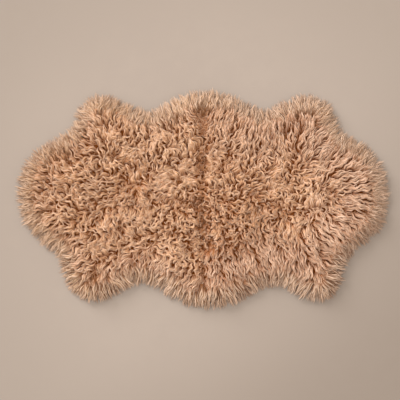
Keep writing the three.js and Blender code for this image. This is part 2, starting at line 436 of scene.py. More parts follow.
def build_wool_fibre():
    """Colour, roughness and height of the hairs along a strand, by its place on the strips."""
    colours = ("Root Colour", "Dark Colour", "Light Colour", "Tip Colour")
    group, given, result = new_group(
        "wool fibre",
        [("Strip", "Vector")] + [(name, "Color") for name in colours],
        [("Colour", "Color"), ("Roughness", "Float"), ("Height", "Float")],
    )
    split = group.nodes.new("ShaderNodeSeparateXYZ")
    fill(group, split.inputs[0], given.outputs["Strip"])
    around = calculate(group, "MULTIPLY", split.outputs[0], STRIPS)
    strip = calculate(group, "FLOOR", around)
    along = split.outputs[1]
    tone = calculate(group, "FLOOR", calculate(group, "DIVIDE", strip, VARIANTS))
    tone = calculate(group, "DIVIDE", tone, TONES - 1)
    warmth = calculate(group, "MODULO", strip, VARIANTS)
    across = calculate(group, "FRACT", around)
    off_ridge = calculate(group, "ABSOLUTE", calculate(group, "SUBTRACT", across, 0.5))

    place = group.nodes.new("ShaderNodeCombineXYZ")
    fill(group, place.inputs[0], calculate(group, "MULTIPLY", across, STREAKS_ROUND))
    fill(group, place.inputs[1], calculate(group, "MULTIPLY", along, STREAK_RUN))
    fill(group, place.inputs[2], calculate(group, "MULTIPLY", strip, STREAK_APART))
    streak = cloudy(group, place.outputs[0], 1.0, STREAK_DETAIL)

    tint = group.nodes.new("ShaderNodeHueSaturation")
    fill(group, tint.inputs["Hue"], ranged(group, warmth, 0, VARIANTS - 1, *WARMTH_HUE, soft=False))
    strength = ranged(group, warmth, 0, VARIANTS - 1, *WARMTH_RED, soft=False)
    # Painted highlight and shade: the ridge is lighter and less red, the flanks darker and redder.
    reddened = ranged(group, off_ridge, *FLANK, *RIDGE_TO_FLANK_RED)
    fill(group, tint.inputs["Saturation"], calculate(group, "MULTIPLY", strength, reddened))
    shaded = ranged(group, off_ridge, *FLANK, *RIDGE_TO_FLANK_PAINTED_LIGHT)
    streaked = ranged(group, streak, *CLOUD_RANGE, *STREAK_LIGHT)
    fill(group, tint.inputs["Value"], calculate(group, "MULTIPLY", shaded, streaked))
    toned = mixed(group, tone, given.outputs["Dark Colour"], given.outputs["Light Colour"])
    fill(group, tint.inputs["Color"], toned)
    # Painted shade at the root, where the strand goes down into the pile.
    grown = ranged(group, along, *ROOT_FADES, 0, 1)
    colour = mixed(group, grown, given.outputs["Root Colour"], tint.outputs[0])
    worn = ranged(group, along, *TIP_STARTS, 0, TIP_SHARE)
    colour = mixed(group, worn, colour, given.outputs["Tip Colour"])

    fill(group, result.inputs["Colour"], colour)
    fill(group, result.inputs["Roughness"], ranged(group, streak, *CLOUD_RANGE, *STREAK_ROUGHNESS))
    fill(group, result.inputs["Height"], streak)
    return group


wool_fibre = build_wool_fibre()
print("Built the group:", wool_fibre.name)

# %% [markdown]
# Felted wool, suede and a plastered floor are all a soft mottle of two colours: broad clouds with a fine
# grain on top. One group serves them, and each material sets its own scale and colours.

# %% Build the felted mottle group
CLOUD_DETAIL, CLOUD_SHARE = 3.0, 0.6
GRAIN_DETAIL, GRAIN_SHARE = 4.0, 0.4
GRAIN_FINER = 14.0  # times as fine as the clouds
MOTTLE_RANGE = (0.36, 0.64)
GRAIN_ROUGHNESS = (0.78, 0.95)


def build_felted_mottle():
    """A cloudy mottle of two colours with a fine grain, by place on the rug."""
    group, given, result = new_group(
        "felted mottle",
        [("Scale", "Float"), ("Dark Colour", "Color"), ("Light Colour", "Color")],
        [("Colour", "Color"), ("Roughness", "Float"), ("Height", "Float")],
    )
    place = group.nodes.new("ShaderNodeTexCoord").outputs["Object"]
    clouds = cloudy(group, place, given.outputs["Scale"], CLOUD_DETAIL)
    finer = calculate(group, "MULTIPLY", given.outputs["Scale"], GRAIN_FINER)
    grain = cloudy(group, place, finer, GRAIN_DETAIL)
    broad = calculate(group, "MULTIPLY", clouds, CLOUD_SHARE)
    blend = calculate(group, "ADD", broad, calculate(group, "MULTIPLY", grain, GRAIN_SHARE))
    share = ranged(group, blend, *MOTTLE_RANGE, 0, 1)
    colour = mixed(group, share, given.outputs["Dark Colour"], given.outputs["Light Colour"])
    fill(group, result.inputs["Colour"], colour)
    fill(group, result.inputs["Roughness"], ranged(group, grain, *CLOUD_RANGE, *GRAIN_ROUGHNESS))
    fill(group, result.inputs["Height"], blend)
    return group


felted_mottle = build_felted_mottle()
print("Built the group:", felted_mottle.name)

# %% [markdown]
# ## Materials
# Wool is rough, and light that grazes its hairs gives it a faint sheen. The rim's wool is a little greyer
# than the crown's, and the felt under them is the darkest and reddest, as painted shade for the gaps between
# the curls. A hair shader would come closer to real hair, but it can't be handed on with the mesh, so a plain
# shader with some sheen takes its place.

# %% Mix the wool, felt, suede and floor materials
SHEEN_ROUGHNESS = 0.45
SHEEN_TINT = (1.0, 0.84, 0.72, 1)
WOOL_SHEEN = 0.3
WOOL_BUMP, WOOL_RELIEF = 0.35, 0.0004


def finish_from(group, name, values, bump_strength, bump_height, sheen=0.0, shine=0.25):
    """A material whose colour, roughness and relief come from a group with its own values."""
    material = bpy.data.materials.new(name)
    material.use_nodes = True
    tree = material.node_tree
    shader = tree.nodes["Principled BSDF"]
    look = tree.nodes.new("ShaderNodeGroup")
    look.node_tree = group
    for socket, value in values.items():
        fill(tree, look.inputs[socket], value)
    bump = tree.nodes.new("ShaderNodeBump")
    bump.inputs["Strength"].default_value = bump_strength
    bump.inputs["Distance"].default_value = bump_height
    tree.links.new(look.outputs["Height"], bump.inputs["Height"])
    tree.links.new(look.outputs["Colour"], shader.inputs["Base Color"])
    tree.links.new(look.outputs["Roughness"], shader.inputs["Roughness"])
    tree.links.new(bump.outputs["Normal"], shader.inputs["Normal"])
    shader.inputs["Specular IOR Level"].default_value = shine
    shader.inputs["Sheen Weight"].default_value = sheen
    shader.inputs["Sheen Roughness"].default_value = SHEEN_ROUGHNESS
    shader.inputs["Sheen Tint"].default_value = SHEEN_TINT
    return material


def group_in(tree):
    """The node that places a group in a material."""
    return next(node for node in tree.nodes if node.type == "GROUP")


def wool(name, root, dark, light, tip):
    """Wool whose strands are coloured from root to tip."""
    values = {"Root Colour": root, "Dark Colour": dark, "Light Colour": light, "Tip Colour": tip}
    material = finish_from(wool_fibre, name, values, WOOL_BUMP, WOOL_RELIEF, sheen=WOOL_SHEEN)
    tree = material.node_tree
    strips = tree.nodes.new("ShaderNodeUVMap")
    strips.uv_map = "OFBake"
    tree.links.new(strips.outputs["UV"], group_in(tree).inputs["Strip"])
    return material


curl_wool = wool(
    "curl wool", root=(0.25, 0.072, 0.010), dark=(0.215, 0.064, 0.012),
    light=(0.646, 0.440, 0.317), tip=(0.650, 0.476, 0.374))
rim_wool = wool(
    "rim wool", root=(0.19, 0.075, 0.027), dark=(0.165, 0.067, 0.026),
    light=(0.614, 0.449, 0.341), tip=(0.612, 0.466, 0.372))
# The felt's dark colours are painted shade for the gaps between the curls.
felt = finish_from(
    felted_mottle, "felted under-wool",
    {"Scale": 110.0, "Dark Colour": (0.10, 0.026, 0.005), "Light Colour": (0.18, 0.055, 0.013)},
    bump_strength=0.8, bump_height=0.004, shine=0.05)
suede = finish_from(
    felted_mottle, "suede hide",
    {"Scale": 16.0, "Dark Colour": (0.55, 0.43, 0.31), "Light Colour": (0.66, 0.55, 0.43)},
    bump_strength=0.25, bump_height=0.0008, sheen=0.15)
plaster = finish_from(
    felted_mottle, "pale floor",
    {"Scale": 1.6, "Dark Colour": (0.333, 0.292, 0.267), "Light Colour": (0.351, 0.309, 0.282)},
    bump_strength=0.04, bump_height=0.0005)
print("Mixed:", ", ".join(material.name for material in (curl_wool, rim_wool, felt, suede, plaster)))

# %% [markdown]
# ## Floor
# A plain pale floor, with painted shade that makes it a little darker away from the rug and towards the lower
# right, as far from the window.
# It is wide enough that its end is far away when the camera looks from low down, and it grows paler out
# there, so that no hard line shows where the floor ends and the room begins. It belongs to the stage and
# not to the rug.

# %% Lay the floor
FLOOR_REACH = 30.0
# Painted shade: the floor is darker away from the rug, and darker still towards the lower right.
FALLOFF_SHADE_COLOUR = (0.314, 0.277, 0.252)
EDGE_FROM, EDGE_TO = 0.35, 0.75  # metres from the rug's middle
CORNER_SHADE_COLOUR = (0.250, 0.217, 0.193)
DIM_FROM, DIM_TO = 0.10, 1.05  # metres towards the lower right
FAR_COLOUR = (0.550, 0.495, 0.440)
FAR_FROM, FAR_TO = 0.8, 8.0


def shade_floor(material):
    """Paints shade into the floor's colour away from the rug and towards one corner, and turns it pale far
    away.
    """
    tree = material.node_tree
    place = tree.nodes.new("ShaderNodeTexCoord").outputs["Object"]
    split = tree.nodes.new("ShaderNodeSeparateXYZ")
    fill(tree, split.inputs[0], place)
    measure = tree.nodes.new("ShaderNodeVectorMath")
    measure.operation = "LENGTH"
    fill(tree, measure.inputs[0], place)
    away = measure.outputs["Value"]
    to_corner = calculate(tree, "SUBTRACT", split.outputs[0], split.outputs[1])
    colour = group_in(tree).outputs["Colour"]
    colour = mixed(tree, ranged(tree, away, EDGE_FROM, EDGE_TO, 0, 1), colour, FALLOFF_SHADE_COLOUR)
    colour = mixed(tree, ranged(tree, to_corner, DIM_FROM, DIM_TO, 0, 1), colour, CORNER_SHADE_COLOUR)
    colour = mixed(tree, ranged(tree, away, FAR_FROM, FAR_TO, 0, 1, soft=False), colour, FAR_COLOUR)
    fill(tree, tree.nodes["Principled BSDF"].inputs["Base Color"], colour)


shade_floor(plaster)

floor_mesh = bpy.data.meshes.new("floor")
ways = ((-1, -1), (1, -1), (1, 1), (-1, 1))
floor_mesh.from_pydata([(FLOOR_REACH * x, FLOOR_REACH * y, 0.0) for x, y in ways], [], [(0, 1, 2, 3)])
floor_mesh.materials.append(plaster)
floor = bpy.data.objects.new("floor", floor_mesh)
bpy.context.scene.collection.objects.link(floor)
print("Laid the floor")

# %% [markdown]
# ## Hides and under-wool
# A hide is a flat sheet of suede leather, about 2 mm thick. On it stands a dense, felted layer of short
# wool, coloured dark as painted shade, which is what shows as dark gaps between the curls. Both are filled
# outlines with a top, a bottom and a wall round the edge. A Delaunay triangulation fills any outline evenly;
# an ordinary face fill would leave long thin triangles that can't be made lumpy.

# %% Make a filled layer inside an outline
FILLING_JITTER = 0.15  # of the pitch
FILLING_INSET = 0.5  # of the pitch
SAME_SPOT = 1e-6


def inside(loop, places):
    """Which places lie inside a loop, by counting the sides to the right of each."""
    within = np.zeros(len(places), bool)
    for (x0, y0), (x1, y1) in zip(loop, np.roll(loop, -1, axis=0)):
        crosses = (y0 > places[:, 1]) != (y1 > places[:, 1])
        if crosses.any():
            cut = x0 + (places[crosses, 1] - y0) * (x1 - x0) / (y1 - y0)
            within[crosses] ^= places[crosses, 0] < cut
    return within


def staggered(loop, pitch, jitter, lots):
    """Places inside a loop on a staggered grid, each moved a little by lot."""
    low, high = loop.min(axis=0), loop.max(axis=0)
    rows = np.arange(low[1], high[1], pitch * math.sqrt(3) / 2)
    columns = np.arange(low[0], high[0], pitch)
    places = [(x + (row % 2) * pitch / 2, y) for row, y in enumerate(rows) for x in columns]
    places = np.array(places) + lots.uniform(-jitter, jitter, (len(places), 2)) * pitch
    return places[inside(loop, places)]


def off_edge(loop, places):
    """How far places are from a loop's points."""
    return np.array([np.linalg.norm(loop - place, axis=1).min() for place in places])


def add_piece(name, mesh, material):
    """A piece of the rug's pile or hide, made from a mesh."""
    mesh.materials.append(material)
    made = bpy.data.objects.new(name, mesh)
    bpy.context.scene.collection.objects.link(made)
    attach(made, "root")
    return made


def layer(name, loop, pitch, top, bottom, material, lots):
    """A closed layer inside a loop. top gives its heights at places, and bottom is one height."""
    filling = staggered(loop, pitch, FILLING_JITTER, lots)
    filling = filling[off_edge(loop, filling) > pitch * FILLING_INSET]
    spots = [Vector(place) for place in (*loop, *filling)]
    rim = [(i, (i + 1) % len(loop)) for i in range(len(loop))]
    spots, _, faces, *_ = delaunay_2d_cdt(spots, rim, [], 1, SAME_SPOT)
    places = np.array(spots)
    count = len(places)
    levels = (top(places), np.full(count, bottom))
    points = np.vstack([np.column_stack([places, level]) for level in levels])
    sides = {(face[i], face[(i + 1) % 3]) for face in faces for i in range(3)}
    walls = [(b, a, a + count, b + count) for a, b in sides if (b, a) not in sides]
    under = [tuple(index + count for index in reversed(face)) for face in faces]
    mesh = bpy.data.meshes.new(name)
    mesh.from_pydata(points.tolist(), [], [tuple(face) for face in faces] + under + walls)
    mesh.polygons.foreach_set("use_smooth", np.ones(len(mesh.polygons), bool))
    print(f"{name}: {len(mesh.polygons)} faces")
    return add_piece(name, mesh, material)


# %% Cut the hides
HIDE_THICKNESS = 0.0022
HIDE_PITCH = 0.018
HIDE_SEED = 11

for side in SIDES:
    layer(
        f"hide_{side}", edges[side], HIDE_PITCH,
        lambda places: np.full(len(places), HIDE_THICKNESS), 0.0,
        suede, np.random.default_rng(HIDE_SEED))
    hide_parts(f"pelt_{side}")

# %% Felt the under-wool
FELT_SHARE = 0.70  # of the pile's height
FELT_FLANK = 0.030  # the felt's rounded flank is this wide
FELT_LUMP, FELT_LUMP_RISE, FELT_LAYER = 0.012, 0.004, 2.5  # size, height and layer of noise of its lumps
FELT_PARTED = 0.010  # the felt lies this much lower where the parting opens
FELT_PITCH = 0.008
FELT_PROUD, FELT_SUNK = 0.0005, 0.0004  # the felt's edge starts over the hide's top, and its bottom under it
FELT_SEED = 12


def felt_top(side, places):
    """A share of the pile's height with small lumps, lower at the parting and rounded down at the rim."""
    flank = np.clip(1 - off_edge(rims[side][0], places) / FELT_FLANK, 0, 1)
    full = FELT_SHARE * pile_top(places) + FELT_LUMP_RISE * drift(places, FELT_LUMP, FELT_LAYER)
    full = full - FELT_PARTED * parting(places)
    return HIDE_THICKNESS + (full - HIDE_THICKNESS) * np.sqrt(1 - flank ** 2) + FELT_PROUD


for side in SIDES:
    layer(
        f"underwool_{side}", edges[side], FELT_PITCH,
        lambda places: felt_top(side, places), HIDE_THICKNESS - FELT_SUNK,
        felt, np.random.default_rng(FELT_SEED))

# %% [markdown]
# ## Strands
# A strand is a thin strip, folded lengthwise like a roof with its ridge up, and it ends in a point.
# Blender's hair curves would be lighter, but they can't be handed on as a mesh. A closed tube would spend a
# third of its faces on an underside that nobody sees. One object for each strand would be far too slow, so
# all the strands of a piece are worked out together as arrays and written into one mesh.

# %% Make a mesh of many strands
ACROSS = 3  # points across a strand: its right edge, its ridge and its left edge
RIDGE = 1.0  # the ridge stands this many half widths over the edges
STRIP_MARGIN = 0.08  # part of a tone strip's width that stays free on either side


def unit(vectors):
    """Vectors scaled to a length of 1."""
    return vectors / np.maximum(np.linalg.norm(vectors, axis=-1, keepdims=True), 1e-12)


def roof_points(paths, halves, tilts):
    """Right edge, ridge and left edge of each strand at each of its stops but the tip."""
    runs = unit(np.gradient(paths, axis=1))[:, :-1]
    level = unit(np.stack([-runs[..., 1], runs[..., 0], np.zeros(halves.shape)], axis=2))
    over = np.cross(runs, level)
    cos, sin = np.cos(tilts)[:, None, None], np.sin(tilts)[:, None, None]
    left = cos * level - sin * over
    up = cos * over + sin * level
    half = halves[..., None]
    middle = paths[:, :-1]
    return np.stack([middle - half * left, middle + RIDGE * half * up, middle + half * left], axis=2)


def strand_faces(stops):
    """The faces of one strand as rows of corners, with each corner's place across and along the strand."""
    tip = ACROSS * stops
    faces = []
    for k in range(stops):
        for j in range(ACROSS - 1):
            right, left = ACROSS * k + j, ACROSS * k + j + 1
            if k + 1 < stops:
                ahead = [(right + ACROSS, j, k + 1), (left + ACROSS, j + 1, k + 1)]
            else:
                ahead = [(tip, 1, k + 1)]
            faces.append([(right, j, k), *ahead, (left, j + 1, k)])
    return faces


def strand_mesh(name, paths, halves, tilts, along, strips, material):
    """One piece of many strands, tilted to their left. Their paths have a point for each stop and the tip."""
    count, stops = halves.shape
    rows = strand_faces(stops)
    sizes = np.array([len(row) for row in rows])
    corners = np.array([corner for row in rows for corner in row])
    points = np.concatenate([roof_points(paths, halves, tilts).reshape(count, -1, 3), paths[:, -1:]], axis=1)
    each = points.shape[1]
    loops = (corners[:, 0].astype(int)[None, :] + each * np.arange(count)[:, None]).ravel()
    face_sizes = np.tile(sizes, count)
    face_starts = np.concatenate([[0], np.cumsum(face_sizes)[:-1]])

    mesh = bpy.data.meshes.new(name)
    mesh.vertices.add(count * each)
    mesh.vertices.foreach_set("co", points.astype(np.float32).ravel())
    mesh.loops.add(len(loops))
    mesh.loops.foreach_set("vertex_index", loops.astype(np.int32))
    mesh.polygons.add(len(face_sizes))
    mesh.polygons.foreach_set("loop_start", face_starts.astype(np.int32))
    mesh.polygons.foreach_set("use_smooth", np.ones(len(face_sizes), bool))
    mesh.update(calc_edges=True)

    share = STRIP_MARGIN + (1 - 2 * STRIP_MARGIN) * corners[:, 1] / (ACROSS - 1)
    places = np.empty((count, len(corners), 2), np.float32)
    places[..., 0] = (strips[:, None] + share[None, :]) / STRIPS
    places[..., 1] = np.interp(corners[:, 2], np.arange(stops + 1), along)
    mesh.uv_layers.new(name="OFBake").data.foreach_set("uv", places.ravel())
    print(f"{name}: {count} strands, {int((face_sizes - 2).sum())} triangles")
    return add_piece(name, mesh, material)


# %% [markdown]
# A fleece is never one colour. Broad patches of it are paler or darker, partly its own tone and partly
# painted light and shade, the wool is warmer at the parting, and combed wool turns pinker towards the lower
# right, where all wool is also painted paler, as light against the sun from the upper left. Each strand gets
# one of a few tones and one of a few warmths by the place of its root. A painted map would do the same, but
# it would have to be drawn by hand.

# %% Choose a tone strip for each strand
PATCHES = (  # broad patches of the fleece, partly its own tone and partly painted light and shade on the pile's lumps: right, up, radius, and how much paler they are
    (-0.14, 0.25, 0.09, 0.20),
    (-0.40, 0.08, 0.07, -0.18),
    (-0.43, -0.11, 0.08, 0.23),
    (-0.10, -0.20, 0.08, 0.22),
    (-0.07, 0.03, 0.07, 0.10),
    (0.06, -0.14, 0.08, -0.18),
    (0.15, -0.04, 0.05, -0.18),
    (0.24, 0.19, 0.06, -0.22),
    (0.29, -0.04, 0.05, 0.24),
    (0.25, -0.13, 0.05, -0.26),
    (0.35, 0.19, 0.05, 0.20),
    (0.35, 0.10, 0.04, -0.16),
    (0.38, -0.25, 0.06, -0.26),
    (0.46, 0.02, 0.07, 0.14),
    (0.45, -0.13, 0.05, -0.22),
)
LOWER_RIGHT_PAINTED_LIGHT = 0.04  # painted light: how much paler wool is made towards the lower right, for each metre
PINKER = 0.7  # and how fast combed wool turns pinker
WARMTH = 0.62  # of tangled wool, from 0 for the pinkest to 1 for the warmest
COMBED_COOLER = 0.42
PARTED_WARMER = 0.10
WARMTH_CLOUDS, WARMTH_SIZE, WARMTH_LAYER = 0.12, 0.06, 3.5  # strength, width and layer of noise
WARMTH_UNEVEN = 0.08


def lower_right(places):
    """How far places lie towards the lower right of the rug, in metres."""
    return places[:, 0] - places[:, 1]


def patchiness(places):
    """How much paler the fleece is at places than on average."""
    return sum(paler * np.exp(-((places[:, 0] - x) ** 2 + (places[:, 1] - y) ** 2) / radius ** 2)
               for x, y, radius, paler in PATCHES)


def strips_for(places, tone, combed, lots):
    """The tone strip of each strand, by its own tone and by its place on the fleece."""
    # Painted light makes the wool paler towards the lower right, and the patches add their own tone and
    # painted light and shade.
    tone_and_painted_light = tone + LOWER_RIGHT_PAINTED_LIGHT * lower_right(places) + patchiness(places)
    step = np.clip(np.round(tone_and_painted_light * (TONES - 1)), 0, TONES - 1).astype(int)
    warmth = WARMTH - COMBED_COOLER * combed - PINKER * combed * lower_right(places)
    warmth = warmth + PARTED_WARMER * parting(places)
    warmth = warmth + WARMTH_CLOUDS * drift(places, WARMTH_SIZE, WARMTH_LAYER)
    warmth = warmth + lots.normal(0, WARMTH_UNEVEN, len(tone))
    variant = np.clip(np.floor(warmth * VARIANTS), 0, VARIANTS - 1).astype(int)
    return step * VARIANTS + variant


print("Patches of the fleece:", len(PATCHES))

# %% [markdown]
# ## Curls of the crown
# The fur of a pelt hangs together in locks as wide as a shoelace, and the locks in clumps as wide as two
# fingers. The locks of one clump share a direction and a crimp, as if they had been pressed together, so
# that they show as wavy bands side by side. Dark gaps open where clumps part. The locks are coarser towards
# the lower edge of the rug, the tightest curls are round the lower half of the seam, and at the thin spots
# some locks are missing. Sculpting each lock would allow all of this, but there are thousands, so they are
# drawn by lot.

# %% Gather the crown in clumps
CLUMP_PITCH, CLUMP_JITTER = 0.030, 0.30  # the jitter is a share of the pitch
TANGLE_TURN = {"left": 0.48, "right": 0.40}  # how far a clump in the tangle turns off its way, in radians
COMBED_TURN = 0.17
CLUMP_HOOK = 0.7  # how far its tips bend aside
CRIMP = (0.020, 0.034)  # the length of its waves
LOCK_HALF = (0.0018, 0.0040)  # half the width of its locks
MORE_NARROW = 1.4  # above 1, narrow locks are more common than broad ones
SMOOTH_CLUMPS = 0.09  # share of the clumps that are brushed into broad, smooth locks
SMOOTH_UP_TO = 0.3  # only where the fur is less combed than this
SMOOTH = {"half": 1.4, "hook": 0.8, "wave": 0.5, "sink": 0.0015, "tone": 0.05}  # what brushing changes


def between(tangled, combed, share):
    """A value between that of tangled and that of combed fur."""
    return tangled + (combed - tangled) * share


def crown_clumps(side, lots):
    """Places, headings, waves, widths and tones of the clumps on one pelt."""
    places = staggered(edges[side], CLUMP_PITCH, CLUMP_JITTER, lots)
    number = len(places)
    heading, _, combed = combing(side, places)
    clumps = {
        "place": places,
        "heading": heading + between(TANGLE_TURN[side], COMBED_TURN, combed) * lots.normal(0, 1, number),
        "tone": lots.normal(0, 1, number),
        "hook": lots.normal(0, CLUMP_HOOK, number),
        "phase": lots.uniform(0, 1, number),
        "crimp": lots.uniform(*CRIMP, number),
        "smooth": ((lots.uniform(0, 1, number) < SMOOTH_CLUMPS) & (combed < SMOOTH_UP_TO)).astype(float),
    }
    half = LOCK_HALF[0] + (LOCK_HALF[1] - LOCK_HALF[0]) * lots.uniform(0, 1, number) ** MORE_NARROW
    clumps["half"] = np.where(clumps["smooth"], SMOOTH["half"] * LOCK_HALF[1], half)
    return clumps


print("Clumps are", CLUMP_PITCH, "m apart")

# %% Find the places of coarse wool and of tight curls
COARSE_FROM, COARSE_TO = 0.08, 0.24  # metres below the rug's middle where locks grow broader and deeper
TIGHT_PLACE = (0.02, -0.08)  # where the curls are tightest: right of the seam, and up
TIGHT_SIZE = (0.10, 0.09)  # half width and half length of that area


def coarseness(places):
    """How much the locks at places belong to the coarser wool of the lower edge."""
    return smooth_step(COARSE_FROM, COARSE_TO, -places[:, 1])


def tightness(places):
    """How much places belong to the area of the tightest curls."""
    right = (places[:, 0] - seam_x - TIGHT_PLACE[0]) / TIGHT_SIZE[0]
    up = (places[:, 1] - TIGHT_PLACE[1]) / TIGHT_SIZE[1]
    return np.exp(-right ** 2 - up ** 2)


print("Coarser wool from", COARSE_FROM, "to", COARSE_TO, "m below the rug's middle")

# %% Share out the locks among the clumps
CROWN_SEED = 21
LOCK_PITCH, LOCK_JITTER = 0.0102, 0.28
ROOT_INSET = 0.004
LOCK_TURN, LOOSENESS = 0.22, 1.4  # how far a lock turns off its clump, and how many times that in the tangle
GATHERING = 0.25  # how strongly locks turn in towards their clump's tip
HALF_UNEVEN = (0.8, 1.2)  # how unlike the widths of a clump's locks are
COMBED_NARROWER = 0.7  # of the width in the tangle
COMBED_HOOK = 0.3  # of the hook in the tangle
RINGLETS, RINGLET_TURN = 0.14, 3.0  # share of the locks that curl right round, and how far in radians
LOCK_LIFT = (-0.0054, 0.0025)  # how far locks lie under or over the pile's top
COMBED_FLATTER = 0.45
TANGLED_LENGTH = 0.038
COMBED_LENGTH = {"left": 0.044, "right": 0.046}
TANGLED_WAVE = 0.70  # how far a lock's waves turn it to either side, in radians
COMBED_WAVE = {"left": 0.48, "right": 0.40}
CROWN_TONE = {"left": 0.735, "right": 0.71}
COMBED_TONE = {"left": -0.05, "right": 0.02}  # how much paler or darker combed fur is than tangled fur
CLUMP_UNEVEN, LOCK_UNEVEN = 0.05, 0.05  # how unlike the tones of clumps and of locks are
CLOUDS, CLOUD_SIZE, CLOUD_LAYER = 0.06, 0.11, 5.5  # paler clouds: strength, width and layer of noise
HEIGHT_PAINTED_SHADE, COMBED_HEIGHT_PAINTED_SHADE = 0.20, 0.12  # painted light and shade: how much paler high locks are than low ones, and less so in combed fur
COARSE = {"half": 0.4, "sink": 0.003, "tone": 0.06, "height painted shade": 0.16}  # what coarse wool adds
TIGHT = {"half": 0.3, "crimp": 0.4, "wave": 0.6, "ringlets": 0.3}  # what tightness takes off or adds
BARE_FROM, BARE_SHARE = 0.5, 0.7  # from here to the barest places of the parting, up to this share is missing
PARTED = {"sink": 0.009, "shorter": 0.4, "tone": 0.68}  # what changes where the parting opens


def crown_locks(side, lots):
    """Roots, headings, widths, waves, heights and tones of the locks on one pelt."""
    clumps = crown_clumps(side, lots)
    roots = staggered(edges[side], LOCK_PITCH, LOCK_JITTER, lots)
    _, rim_away, combed = combing(side, roots)
    bare = BARE_SHARE * smooth_step(BARE_FROM, 1.0, parting(roots))
    kept = (rim_away > ROOT_INSET) & (lots.uniform(0, 1, len(roots)) > bare)
    roots, combed = roots[kept], combed[kept]
    number = len(roots)
    nearest = np.linalg.norm(roots[:, None, :] - clumps["place"][None, :, :], axis=2).argmin(axis=1)
    clump = {name: values[nearest] for name, values in clumps.items()}
    heading = clump["heading"]
    aside = roots - clump["place"]
    forward = aside[:, 0] * np.cos(heading) + aside[:, 1] * np.sin(heading)
    across = aside[:, 1] * np.cos(heading) - aside[:, 0] * np.sin(heading)
    heading = heading - GATHERING * across / CLUMP_PITCH
    heading = heading + lots.normal(0, LOCK_TURN, number) * (LOOSENESS - combed)

    parted, coarse, tight = parting(roots), coarseness(roots), tightness(roots)
    smooth = clump["smooth"]
    height = lots.uniform(0, 1, number)
    ringlet = (lots.uniform(0, 1, number) < RINGLETS + TIGHT["ringlets"] * tight) * (1 - combed)
    hook = between(1, COMBED_HOOK, combed) * clump["hook"]
    hook = hook + ringlet * lots.choice([-RINGLET_TURN, RINGLET_TURN], number)
    lift = LOCK_LIFT[0] + (LOCK_LIFT[1] - LOCK_LIFT[0]) * height
    lift = lift * (1 - COMBED_FLATTER * combed * (1 - coarse)) - COARSE["sink"] * coarse * (1 - height)
    crimp = clump["crimp"] * (1 - TIGHT["crimp"] * tight)
    tone = CROWN_TONE[side] + CLUMP_UNEVEN * clump["tone"] + CLOUDS * drift(roots, CLOUD_SIZE, CLOUD_LAYER)
    tone = tone + LOCK_UNEVEN * lots.normal(0, 1, number)
    # Painted light and shade: low locks are darker and high ones paler.
    height_shade = HEIGHT_PAINTED_SHADE + COARSE["height painted shade"] * coarse - COMBED_HEIGHT_PAINTED_SHADE * combed * (1 - coarse)
    tone = tone + height_shade * (height - 0.5) + COMBED_TONE[side] * combed + COARSE["tone"] * coarse
    half = clump["half"] * lots.uniform(*HALF_UNEVEN, number) * between(1, COMBED_NARROWER, combed)
    wave = between(TANGLED_WAVE, COMBED_WAVE[side], combed) * (1 - SMOOTH["wave"] * smooth)
    return {
        "root": roots,
        "heading": heading,
        "combed": combed,
        "half": half * (1 + COARSE["half"] * coarse) * (1 - TIGHT["half"] * tight),
        "crimp": crimp,
        "phase": clump["phase"] + forward / crimp,
        "hook": hook * (1 - SMOOTH["hook"] * smooth),
        "lift": lift - SMOOTH["sink"] * smooth - PARTED["sink"] * parted,
        "length": between(TANGLED_LENGTH, COMBED_LENGTH[side], combed) * (1 - PARTED["shorter"] * parted),
        "wave": wave * (1 + TIGHT["wave"] * tight),
        "smooth": smooth,
        "tone": tone - SMOOTH["tone"] * smooth - PARTED["tone"] * parted,
    }


crown = {side: crown_locks(side, np.random.default_rng(CROWN_SEED + i)) for i, side in enumerate(SIDES)}
for side in SIDES:
    print(f"The {side} pelt's crown has {len(crown[side]['root'])} locks")

# %% [markdown]
# A lock rises from the felt, leans over along its direction, and then waves from side to side. Its path is
# found by walking along it: at each step the heading turns a little, and the height follows the lumps of
# the pile. The strands of a lock lie side by side on its rounded back. A curve with handles would be
# smoother, but the waves would have to be fitted to its handles.

# %% Helpers for walking along strands
STEPS = 48  # small steps along a strand
SHARES = np.linspace(0, 1, STEPS + 1)[None, :]  # of a strand's length, at each step
ROUNDING = 1.25  # the outermost strands of a lock lie this far round its back, in radians
LOCK_RISE = 0.85  # how high a lock's back is, as a share of half its width
BACK_LEVEL = 0.5  # the part of its back that lies at the lock's own height


def walk(root, heading, stride):
    """Places reached by walking from roots, one stride for each step, along headings that turn."""
    x = np.cumsum(stride * np.cos(heading), axis=1)
    y = np.cumsum(stride * np.sin(heading), axis=1)
    return root[:, None, :] + np.stack([x, y], axis=2)


def side_by_side(flat, lie, tilt, half):
    """Moves the strands of locks aside, each to its place on the lock's back."""
    return flat + np.stack([-np.sin(lie), np.cos(lie)], axis=2) * (np.sin(tilt)[:, None] * half)[..., None]


def back_height(tilt, half):
    """How far strands lie over or under their lock's own height."""
    return (np.cos(tilt)[:, None] - BACK_LEVEL) * LOCK_RISE * half


def raised(flat, height):
    """Places on the floor and heights over them as points."""
    return np.concatenate([flat, height[..., None]], axis=2)


print("Steps along a strand:", STEPS)

